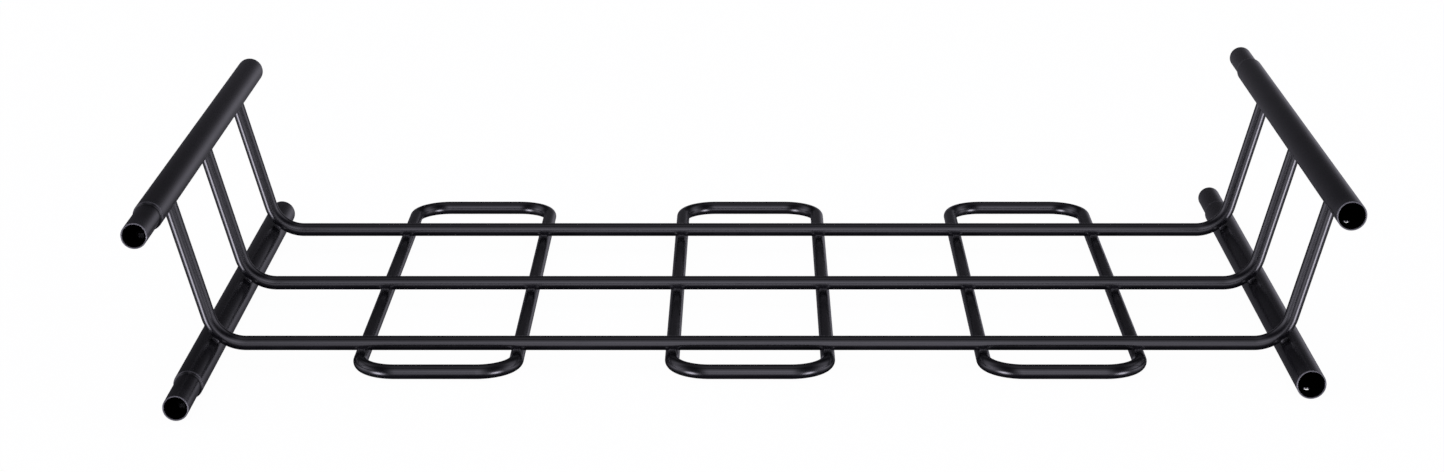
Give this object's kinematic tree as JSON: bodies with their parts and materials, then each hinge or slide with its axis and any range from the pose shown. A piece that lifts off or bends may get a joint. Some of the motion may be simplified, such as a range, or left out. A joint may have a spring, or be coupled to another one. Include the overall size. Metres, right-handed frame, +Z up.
{
  "type": "roof cargo basket extension section",
  "caption": "Welded tube extension section for a roof cargo basket: bent cross rods with outward-leaning sides, floor loops below, and plug-in side rail ends.",
  "frame": {"origin": "on the ground, at the middle of the bounding box", "axes": "+X to the right along the cross rods, +Y from the front to the rear along the side rails, +Z up"},
  "size_m": [1.0274, 0.654, 0.1737],
  "materials": {
    "powder_coat": "satin black powder coat, faint blue-violet tint",
    "weld_coat": "satin black powder coat over weld beads",
    "nut_steel": "steel nut under the same black coat"
  },
  "bodies": {
    "root": {"upper_rail_left": "powder_coat", "upper_rail_right": "powder_coat", "lower_rail_left": "powder_coat", "lower_rail_right": "powder_coat", "cross_rod_front": "powder_coat", "cross_rod_middle": "powder_coat", "cross_rod_rear": "powder_coat", "floor_loop_left": "powder_coat", "floor_loop_centre": "powder_coat", "floor_loop_right": "powder_coat", "nut_upper_left": "nut_steel", "nut_upper_right": "nut_steel", "nut_lower_left": "nut_steel", "nut_lower_right": "nut_steel", "welds_upper_left": "weld_coat", "welds_upper_right": "weld_coat", "welds_lower_left": "weld_coat", "welds_lower_right": "weld_coat", "welds_loop_left": "weld_coat", "welds_loop_centre": "weld_coat", "welds_loop_right": "weld_coat"}
  },
  "joints": []
}
